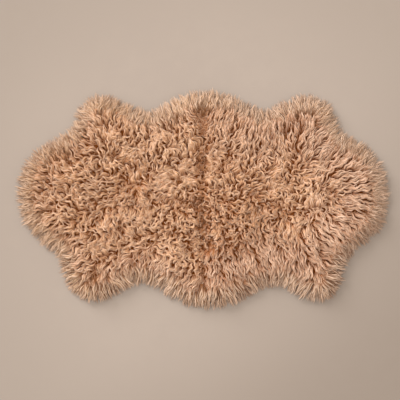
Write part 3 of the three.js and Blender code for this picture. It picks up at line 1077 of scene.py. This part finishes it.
# %% Walk the strands of the crown's locks
CURL_STOPS = np.array([0, 11, 18, 23, 28, 32, 36, 40, 44, 48])  # steps with points, the last one the tip
CURL_TAPER = np.array([0.8, 0.95, 1.0, 1.0, 1.0, 0.97, 0.92, 0.82, 0.62])  # of a strand's width, at each stop
LOCK_STRANDS = 5
LOCK_LENGTHS, LOCK_WAVES, LOCK_BOBS = (0.82, 1.18), (0.6, 1.4), (0.5, 1.4)  # how unlike the locks are
TANGLED_BOB, COMBED_BOB = 0.0022, 0.0010  # how far a lock's waves lift it
STRAND_LENGTHS = (0.86, 1.06)  # how unlike the strands of one lock are
CURL_STRAY = {"phase": 0.025, "heading": 0.05, "tilt": 0.10}
START_PACE, PACE_RANGE = 0.12, (0.02, 0.40)  # a lock gains little ground while it rises
WAVE_RANGE = (0.08, 0.40)  # its waves set in over this part of its length
HOOK_POWER = 1.8  # how late along a lock its hook sets in
ROOT_HALF = 0.6  # of a lock's full width
TIP_NARROWER, NARROWER_FROM = 0.72, 0.45
ROOT_HEIGHT = 0.52  # of the pile's height
RISEN_AT = 0.72  # of a lock's length
OVERHANG = 0.013  # locks that reach past the pile stay this high
TIP_DROOP = 0.004
CURL_LEAST = 0.002  # no lock of the crown comes closer to the floor


def curl_paths(locks, lots):
    """Paths and tilts of all strands of the crown's locks, and the lock that each belongs to."""
    number = len(locks["root"])
    pick = np.repeat(np.arange(number), LOCK_STRANDS)
    many = len(pick)
    length = locks["length"] * lots.uniform(*LOCK_LENGTHS, number)
    wave = locks["wave"] * lots.uniform(*LOCK_WAVES, number)
    bob = between(TANGLED_BOB, COMBED_BOB, locks["combed"]) * lots.uniform(*LOCK_BOBS, number)

    pace = START_PACE + (1 - START_PACE) * smooth_step(*PACE_RANGE, SHARES)
    stride = (length[pick] * lots.uniform(*STRAND_LENGTHS, many) / STEPS)[:, None] * pace
    phase = locks["phase"][pick] + lots.normal(0, CURL_STRAY["phase"], many)
    swing = 2 * np.pi * (np.cumsum(stride, axis=1) / locks["crimp"][pick, None] + phase[:, None])
    ramp = smooth_step(*WAVE_RANGE, SHARES)
    lie = (locks["heading"][pick] + lots.normal(0, CURL_STRAY["heading"], many))[:, None]
    lie = lie + locks["hook"][pick, None] * SHARES ** HOOK_POWER
    flat = walk(locks["root"][pick], lie + wave[pick, None] * ramp * np.sin(swing), stride)

    tilt = np.tile(np.linspace(-ROUNDING, ROUNDING, LOCK_STRANDS), number)
    tilt = tilt + lots.normal(0, CURL_STRAY["tilt"], many)
    half = locks["half"][pick, None] * (ROOT_HALF + (1 - ROOT_HALF) * ramp)
    half = half * (1 - TIP_NARROWER * smooth_step(NARROWER_FROM, 1.0, SHARES))
    stops = side_by_side(flat, lie, tilt, half)[:, CURL_STOPS]

    at = SHARES[:, CURL_STOPS]
    rise = np.sin(np.clip(at / RISEN_AT, 0, 1) * np.pi / 2)
    low = ROOT_HEIGHT * pile_top(stops[:, :1])
    high = np.maximum(pile_top(stops), OVERHANG) + locks["lift"][pick, None] - TIP_DROOP * at ** 3
    height = low + (high - low) * rise + bob[pick, None] * ramp[:, CURL_STOPS] * np.cos(swing[:, CURL_STOPS])
    height = height + back_height(tilt, half[:, CURL_STOPS]) * rise
    return raised(stops, np.maximum(height, CURL_LEAST)), tilt, pick


print("Points along a strand of the crown:", len(CURL_STOPS))

# %% [markdown]
# Where clumps part, some spots stay bald. Closer locks everywhere would cover them, but at the cost of many
# strands that nobody sees. So the rug is ruled into small squares, those that no strand passes over or
# beside are found, and a second sowing puts a lower lock across each of them. The gaps that are left even
# so get single strands, further down.

# %% Sow a second time where the pelt is bald
SQUARE = 0.003
SQUARES_BETWEEN = 4  # places looked at from one point of a strand to the next
BALD = {"cover": 0.0, "apart": 0.0075}  # where locks go: the share of covered squares, and the least distance
GAP = {"cover": 0.34, "apart": 0.0048}  # where single strands go
SECOND_BACK = 0.018  # a lock's root lies this far behind the spot that it covers
SECOND_TURN, SECOND_LOOSENESS = 0.7, 1.1
SECOND_HOOK = 0.4
SECOND_LIFT = -0.006
# The second locks lie lower, and their darker tone is painted shade.
SECOND_TONE, SECOND_UNEVEN, SECOND_PARTED = 0.58, 0.06, 0.50


def pointing(headings):
    """Arrows of length 1 along headings."""
    return np.column_stack([np.cos(headings), np.sin(headings)])


def bald_spots(side, paths, cover, apart):
    """Places apart from each other on a pelt, with no more than a share of the squares round them covered."""
    low = edges[side].min(axis=0)
    covered = np.zeros(np.ceil((edges[side].max(axis=0) - low) / SQUARE).astype(int) + 1)
    for share in np.linspace(0, 1, SQUARES_BETWEEN, endpoint=False):
        places = paths[:, 2:-1, :2] * (1 - share) + paths[:, 3:, :2] * share
        cells = ((places.reshape(-1, 2) - low) / SQUARE).astype(int)
        cells = np.clip(cells, 0, np.array(covered.shape) - 1)
        covered[cells[:, 0], cells[:, 1]] = 1
    places = low + (np.argwhere(neighbours_mean(covered) <= cover) + 0.5) * SQUARE
    kept = np.empty((0, 2))
    for place in places[inside(edges[side], places)]:
        if (np.linalg.norm(kept - place, axis=1) > apart).all():
            kept = np.vstack([kept, place])
    return kept


def second_locks(side, spots, lots):
    """Locks that pass over bald spots, leaning as the fur round them does."""
    number = len(spots)
    heading, _, combed = combing(side, spots)
    heading = heading + lots.normal(0, SECOND_TURN, number) * (SECOND_LOOSENESS - combed)
    return {
        "root": spots - SECOND_BACK * pointing(heading),
        "heading": heading,
        "combed": combed,
        "half": lots.uniform(*LOCK_HALF, number),
        "crimp": lots.uniform(*CRIMP, number),
        "phase": lots.uniform(0, 1, number),
        "hook": lots.normal(0, SECOND_HOOK, number),
        "lift": np.full(number, SECOND_LIFT),
        "length": between(TANGLED_LENGTH, COMBED_LENGTH[side], combed),
        "wave": between(TANGLED_WAVE, COMBED_WAVE[side], combed),
        "smooth": np.zeros(number),
        "tone": SECOND_TONE + SECOND_UNEVEN * lots.normal(0, 1, number) - SECOND_PARTED * parting(spots),
    }


print("Bald spots are looked for in squares of", SQUARE, "m")

# %% Grow the crown, in an upper and a lower piece on each pelt
CURL_SEED = 31
STRAND_HALF = 0.00093  # half of a strand's width
STRAND_WIDTHS = (0.75, 1.2)  # how unlike the strands' widths are
SMOOTH_STRANDS = 0.6  # how much broader the strands of smooth locks are
STRAND_UNEVEN = 0.115  # how unlike the tones of the strands in one lock are

crown_pieces = {side: [] for side in SIDES}
gaps = {}
for i, side in enumerate(SIDES):
    lots = np.random.default_rng(CURL_SEED + i)
    paths, tilts, pick = curl_paths(crown[side], lots)
    spots = bald_spots(side, paths, **BALD)
    spots = spots[parting(spots) < BARE_FROM]
    second = second_locks(side, spots, lots)
    more_paths, more_tilts, more_pick = curl_paths(second, lots)
    paths = np.concatenate([paths, more_paths])
    tilts = np.concatenate([tilts, more_tilts])
    tone, root, smooth, combed = (
        np.concatenate([crown[side][name][pick], second[name][more_pick]])
        for name in ("tone", "root", "smooth", "combed"))
    gaps[side] = bald_spots(side, paths, **GAP)
    print(f"Second sowing on the {side} pelt: {len(spots)} locks, with {len(gaps[side])} gaps left")

    broad = lots.uniform(*STRAND_WIDTHS, len(paths)) * (1 + SMOOTH_STRANDS * smooth)
    halves = STRAND_HALF * broad[:, None] * CURL_TAPER[None, :]
    strips = strips_for(root, tone + lots.normal(0, STRAND_UNEVEN, len(tone)), combed, lots)
    upper = root[:, 1] > np.median(root[:, 1])
    for part, chosen in (("upper", upper), ("lower", ~upper)):
        piece = strand_mesh(
            f"curls_{side}_{part}", paths[chosen], halves[chosen], tilts[chosen],
            CURL_STOPS / STEPS, strips[chosen], curl_wool)
        crown_pieces[side].append(piece)

# %% [markdown]
# ## Short wool of the parting and the gaps
# Along the seam the locks lean away to both sides, and where the parting opens, short, dark, tightly curled
# wool shows between them. Its strands are single, so that they look fuzzy. They point anywhere and keep
# close to the felt. Longer ones of the same kind lie in the gaps between the crown's locks, and there they
# follow the fur round them. A darker felt alone would show as flat holes.

# %% Grow the short wool
SHORT_SEED = 51
SHORT_STOPS = np.array([0, 8, 16, 24, 32, 40, 48])
SHORT_TAPER = np.array([1.0, 1.0, 1.0, 0.95, 0.85, 0.6])
SHORT_HALF = 0.00075
SHORT_CURL, SHORT_SWING = (1.0, 2.2), 1.1  # waves along a strand, and how far they turn it, in radians
SHORT_ARCH = 0.75  # the part of an arch that a strand rises through
SHORT_SUNK = 0.001  # its root lies this far in the felt
SHORT_TILT = 0.4
SHORT_ALONG = (0.45, 0.4)  # the part of the tone strips that it takes: where it starts, and how much
PARTED_PITCH, PARTED_JITTER = 0.0050, 0.4
PARTED_FROM = 0.30  # places that belong to the parting by this much get short wool
PARTED_LENGTH, PARTED_LIFT = (0.012, 0.022), (0.002, 0.009)  # the lift is over the felt
PARTED_TONE, PARTED_UNEVEN = 0.12, 0.26
GAP_LENGTH, GAP_LIFT = (0.018, 0.030), (0.003, 0.009)
GAP_TURN = 0.6  # how far a strand turns off the fur round it, in radians
# The strands in the gaps are darker than the crown, as painted shade between the locks.
GAP_TONE, GAP_UNEVEN, GAP_PARTED = 0.38, 0.15, 0.4


def even_strides(length):
    """The same stride for all steps of a strand."""
    return np.repeat((length / STEPS)[:, None], STEPS + 1, axis=1)


def short_paths(roots, heading, length, lift, lots):
    """Paths of single curly strands that lie over the felt."""
    number = len(roots)
    stride = even_strides(lots.uniform(*length, number))
    waves = lots.uniform(*SHORT_CURL, number)[:, None] * SHARES
    swing = 2 * np.pi * (waves + lots.uniform(0, 1, number)[:, None])
    flat = walk(roots, heading[:, None] + SHORT_SWING * np.sin(swing), stride)[:, SHORT_STOPS]
    rise = np.sin(SHARES[:, SHORT_STOPS] * np.pi * SHORT_ARCH)
    ground = FELT_SHARE * pile_top(flat) - FELT_PARTED * parting(roots)[:, None] - SHORT_SUNK
    return raised(flat, ground + lots.uniform(*lift, number)[:, None] * rise)


for i, side in enumerate(SIDES):
    lots = np.random.default_rng(SHORT_SEED + i)
    parted = staggered(edges[side], PARTED_PITCH, PARTED_JITTER, lots)
    parted = parted[parting(parted) > PARTED_FROM]
    anywhere = lots.uniform(0, 2 * np.pi, len(parted))
    at_parting = short_paths(parted, anywhere, PARTED_LENGTH, PARTED_LIFT, lots)
    heading = combing(side, gaps[side])[0] + lots.normal(0, GAP_TURN, len(gaps[side]))
    behind = gaps[side] - np.mean(GAP_LENGTH) / 2 * pointing(heading)
    in_gaps = short_paths(behind, heading, GAP_LENGTH, GAP_LIFT, lots)

    paths = np.concatenate([at_parting, in_gaps])
    number = len(paths)
    halves = SHORT_HALF * lots.uniform(*STRAND_WIDTHS, number)[:, None] * SHORT_TAPER[None, :]
    parted_tone = lots.normal(PARTED_TONE, PARTED_UNEVEN, len(parted))
    gap_tone = lots.normal(GAP_TONE, GAP_UNEVEN, len(behind)) - GAP_PARTED * parting(behind)
    tone = np.concatenate([parted_tone, gap_tone])
    strips = strips_for(np.concatenate([parted, behind]), tone, np.zeros(number), lots)
    tilts = lots.normal(0, SHORT_TILT, number)
    along = SHORT_ALONG[0] + SHORT_ALONG[1] * SHORT_STOPS / STEPS
    strand_mesh(f"short_wool_{side}", paths, halves, tilts, along, strips, curl_wool)

# %% [markdown]
# ## Locks of the rim
# Round the rim, locks hang over the edge of the hide in four tiers, over each other like thatch. The lowest
# lies on the floor and is painted darker, as shade under the others. The three over it start farther in, end
# higher up and droop, and the higher a lock lies, the paler it is painted, as light. A lock's sides are
# painted darker than its back, as shade. Along the lower edge of the rug the locks are broader, straighter
# and fewer, with more of that painted light and shade, and those that point away from the light are painted
# darker, as shade. Single fine hairs stray between them and blur the outline. A fringe of flat cards would be
# lighter, but it would look cut out from the side. The locks are spaced evenly where they end, because those
# of a rounded corner fan out.

# %% Set out the tiers of the rim
RIM_FAN = 0.035  # the locks are spaced evenly along a line this far outside the rim
# Of each tier: how far its roots lie inside the rim and its tips past it, the heights of roots and tips, how
# far its locks arch over the line between them, and their tone, lowest in the lowest tier as painted shade
# under the others
LOWER_TIER = {"inset": 0.004, "reach": 0.0460, "start": 0.008, "end": 0.0035, "lift": 0.003, "tone": 0.50}
UPPER_TIER = {"inset": 0.010, "reach": 0.0470, "start": 0.016, "end": 0.0090, "lift": 0.007, "tone": 0.73}
MIDDLE_TIER = {"inset": 0.016, "reach": 0.0390, "start": 0.020, "end": 0.0120, "lift": 0.008, "tone": 0.80}
NEAR_TIER = {"inset": 0.022, "reach": 0.0300, "start": 0.024, "end": 0.0160, "lift": 0.009, "tone": 0.78}
STRAY_TIER = {"inset": 0.006, "reach": 0.0430, "start": 0.012, "end": 0.0080, "lift": 0.006, "tone": 0.76}
# Of each kind of lock: the distance between two, the strands in one, half the widths of a lock and a strand,
# how far it turns off its way and waves, how much narrower it ends, and the share missing at the lower edge
LOWER_LOCK = {
    "pitch": 0.0052, "strands": 6, "half": 0.0027, "strand": 0.00070,
    "turn": 0.17, "wave": (0.10, 0.42), "drawn_in": 0.4, "thinned": 0.2}
BROAD_LOCK = {
    "pitch": 0.0088, "strands": 5, "half": 0.0026, "strand": 0.00096,
    "turn": 0.20, "wave": (0.25, 0.60), "drawn_in": 0.4, "thinned": 0.3}
STRAY_HAIR = {
    "pitch": 0.0018, "strands": 1, "half": 0.0, "strand": 0.00042,
    "turn": 0.30, "wave": (0.10, 0.42), "drawn_in": 0.0, "thinned": 0.0}
TIERS = (  # each tier with its locks, and how far its first lock is shifted, as a share of the pitch
    (LOWER_TIER, LOWER_LOCK, 0.0),
    (UPPER_TIER, BROAD_LOCK, 0.5),
    (MIDDLE_TIER, BROAD_LOCK, 0.0),
    (NEAR_TIER, BROAD_LOCK, 0.25),
    (STRAY_TIER, STRAY_HAIR, 0.3),
)


def rim_spots(side, pitch, shift):
    """Spots along the rim for one tier's locks, with the outward direction at each."""
    rim, outward = rims[side]
    ends = rim + RIM_FAN * outward
    apart = np.linalg.norm(np.diff(ends, axis=0), axis=1)
    reach = np.concatenate([[0], np.cumsum(np.maximum(apart, EDGE_STEP / 2))])
    spots = np.arange(shift * pitch, reach[-1], pitch)
    at = np.column_stack([np.interp(spots, reach, rim[:, axis]) for axis in (0, 1)])
    out = np.column_stack([np.interp(spots, reach, outward[:, axis]) for axis in (0, 1)])
    return at, np.arctan2(out[:, 1], out[:, 0])


print("Tiers of the rim:", len(TIERS))

# %% Walk the strands of the rim's locks
RIM_STOPS = np.array([0, 9, 16, 23, 30, 36, 42, 48])
RIM_TAPER = np.array([0.9, 1.0, 1.0, 1.0, 0.95, 0.88, 0.7])
RIM_SWERVE, SWERVE_SIZE, SWERVE_LAYER = 0.20, 0.05, 8.5  # how far neighbours turn aside together
RIM_INSETS, RIM_ENDS = (0.6, 1.4), (0.5, 1.5)  # how unlike the locks' insets and ends are
RIM_LENGTHS, LENGTH_LIMITS = 0.10, (-2, 1)
RIM_WAVES = (1.2, 2.2)  # waves along a lock
RIM_HIGHER, HIGHER_PAINTED_LIGHT, HIGHER_LIMITS = 0.0035, 0.07, (-2, 1.5)  # how much higher some locks are, how much paler that paints them, as light on high locks and shade on low ones, and the limits
RIM_UNEVEN = 0.07  # how unlike the locks' tones are
RIM_CLOUDS, RIM_CLOUD_SIZE, RIM_CLOUD_LAYER = 0.08, 0.06, 6.5
AWAY_FROM_LIGHT = -0.85  # the direction towards the lower right, in radians
AWAY_RANGE, AWAY_SHADE = (0.55, 1.0), 0.26  # the locks that point that way are darker
SIDE_SHADE, SIDE_POWER = 1.05, 4  # painted shade: how much darker the sides of a lock are than its back
FINE_SIDES, COARSE_SIDES = 0.45, 1.55  # the share of that in fine wool, and what coarse wool adds
# In coarse wool the tiers over the lowest are painted paler, as light on the top locks.
COARSE_RIM = {"straighter": 0.35, "half": 0.6, "strand": 0.5, "higher": 0.5, "uneven": 0.12, "tone": 1.2}
RIM_STRANDS = (0.84, 1.03)  # how unlike the lengths of the strands in one lock are
RIM_STRAY = {"phase": 0.04, "heading": 0.06, "tilt": 0.12, "start": 0.002, "tone": 0.06}
RIM_DROOP = 1.6  # how late along a lock it droops
RIM_BOB = 0.0008
RIM_LEAST = 0.0012  # no strand of the rim comes closer to the floor


def rim_paths(side, tier, lock, shift, lots):
    """Paths of all strands in one tier of the rim, with their half widths, tilts, tones and places."""
    at, heading = rim_spots(side, lock["pitch"], shift)
    kept = lots.uniform(0, 1, len(at)) > lock["thinned"] * coarseness(at)
    at, heading = at[kept], heading[kept]
    number = len(at)
    coarse = coarseness(at)
    straight = 1 - COARSE_RIM["straighter"] * coarse
    away = smooth_step(*AWAY_RANGE, np.cos(heading - AWAY_FROM_LIGHT))
    turn = lock["turn"] * straight * lots.normal(0, 1, number)
    heading = heading + turn + RIM_SWERVE * drift(at, SWERVE_SIZE, SWERVE_LAYER + shift)
    inset = tier["inset"] * lots.uniform(*RIM_INSETS, number)
    root = at - inset[:, None] * pointing(heading)
    length = (inset + tier["reach"]) * (1 + RIM_LENGTHS * lots.normal(0, 1, number).clip(*LENGTH_LIMITS))
    wave = lots.uniform(*lock["wave"], number) * straight
    waves = lots.uniform(*RIM_WAVES, number)
    phase = lots.uniform(0, 1, number)
    end = tier["end"] * lots.uniform(*RIM_ENDS, number)
    tone = tier["tone"] + COMBED_TONE[side] + RIM_CLOUDS * drift(at, RIM_CLOUD_SIZE, RIM_CLOUD_LAYER)
    tone = tone + (RIM_UNEVEN + COARSE_RIM["uneven"] * coarse) * lots.normal(0, 1, number)
    higher = lots.normal(0, 1, number).clip(*HIGHER_LIMITS) * (1 + COARSE_RIM["higher"] * coarse)
    # Painted light and shade: higher locks and, in coarse wool, the tiers over the lowest are paler.
    tone = tone + HIGHER_PAINTED_LIGHT * higher + COARSE_RIM["tone"] * (tier["tone"] - LOWER_TIER["tone"]) * coarse
    tone = tone - AWAY_SHADE * away

    pick = np.repeat(np.arange(number), lock["strands"])
    many = len(pick)
    stray = lots.normal(0, RIM_STRAY["phase"], many)[:, None]
    swing = 2 * np.pi * (waves[pick, None] * SHARES + phase[pick, None] + stray)
    lie = heading[pick, None] + lots.normal(0, RIM_STRAY["heading"], many)[:, None]
    stride = even_strides(length[pick] * lots.uniform(*RIM_STRANDS, many))
    flat = walk(root[pick], lie + wave[pick, None] * np.sin(swing), stride)
    aside = np.tile((2 * np.arange(lock["strands"]) + 1) / lock["strands"] - 1, number)
    tilt = ROUNDING * aside + lots.normal(0, RIM_STRAY["tilt"], many)
    half = lock["half"] * (1 + COARSE_RIM["half"] * coarse[pick, None]) * (1 - lock["drawn_in"] * SHARES ** 2)
    stops = side_by_side(flat, lie, tilt, half)[:, RIM_STOPS]

    at_stop = SHARES[:, RIM_STOPS]
    start = tier["start"] + lots.uniform(-RIM_STRAY["start"], RIM_STRAY["start"], many)
    height = start[:, None] * (1 - at_stop ** RIM_DROOP) + end[pick, None] * at_stop ** RIM_DROOP
    height = height + (tier["lift"] + (RIM_HIGHER * higher)[pick, None]) * np.sin(np.pi * at_stop)
    height = height + RIM_BOB * np.cos(swing[:, RIM_STOPS])
    height = height + back_height(tilt, half[:, RIM_STOPS])
    broad = lots.uniform(*STRAND_WIDTHS, many) * (1 + COARSE_RIM["strand"] * coarse[pick])
    halves = lock["strand"] * broad[:, None] * RIM_TAPER[None, :]
    shade = SIDE_SHADE * (FINE_SIDES + COARSE_SIDES * coarse)
    tone = tone[pick] - shade[pick] * aside ** SIDE_POWER + lots.normal(0, RIM_STRAY["tone"], many)
    return raised(stops, np.maximum(height, RIM_LEAST)), halves, tilt, tone, at[pick]


print("Points along a strand of the rim:", len(RIM_STOPS))

# %% Grow the rim, one piece on each pelt
RIM_SEED = 41
RIM_COMBED = 0.5  # how combed the rim counts as, for its colour

for i, side in enumerate(SIDES):
    lots = np.random.default_rng(RIM_SEED + i)
    tiers = [rim_paths(side, tier, lock, shift, lots) for tier, lock, shift in TIERS]
    paths, halves, tilts, tone, at = (np.concatenate(values) for values in zip(*tiers))
    strips = strips_for(at, tone, np.full(len(at), RIM_COMBED), lots)
    strand_mesh(
        f"rim_locks_{side}", paths, halves, tilts, RIM_STOPS / STEPS, strips, rim_wool)

# %% [markdown]
# ## The hides
# A pelt's hide is a sheet that lies on the floor, and everything that grows on it goes with it. The loop
# below over the pelts does nothing.

for side in SIDES:
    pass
